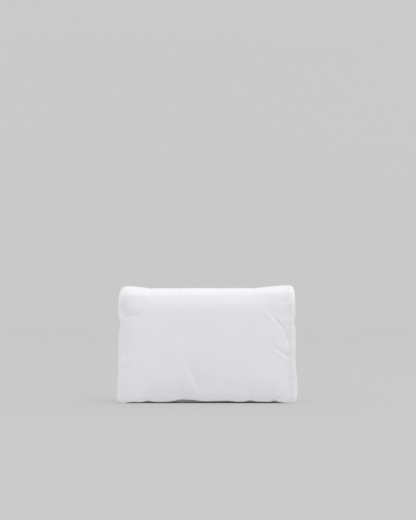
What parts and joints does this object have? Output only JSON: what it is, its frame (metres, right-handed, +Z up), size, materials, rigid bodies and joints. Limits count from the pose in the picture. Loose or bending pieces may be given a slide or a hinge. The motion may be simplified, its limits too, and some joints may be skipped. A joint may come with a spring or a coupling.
{
  "type": "puffer clutch bag",
  "caption": "Padded fold-over clutch bag that stands on its base, with a puffy flap over the whole front, rounded side strips and a pocket behind the flap.",
  "frame": {"origin": "middle of the base, on the surface that the bag stands on", "axes": "+Z up, -Y out of the front flap, +X to the right of someone who faces the flap"},
  "size_m": [0.2804, 0.076, 0.1849],
  "materials": {
    "white_nylon": "white woven nylon over soft padding, satin matte, with puckered seams",
    "plated_steel": "plain nickel-plated magnet disc, satin"
  },
  "bodies": {
    "root": {"back_and_flap_panel": "white_nylon", "side_strip_left": "white_nylon", "side_strip_right": "white_nylon", "pocket_panel": "white_nylon", "flap_magnet": "plated_steel"}
  },
  "joints": []
}
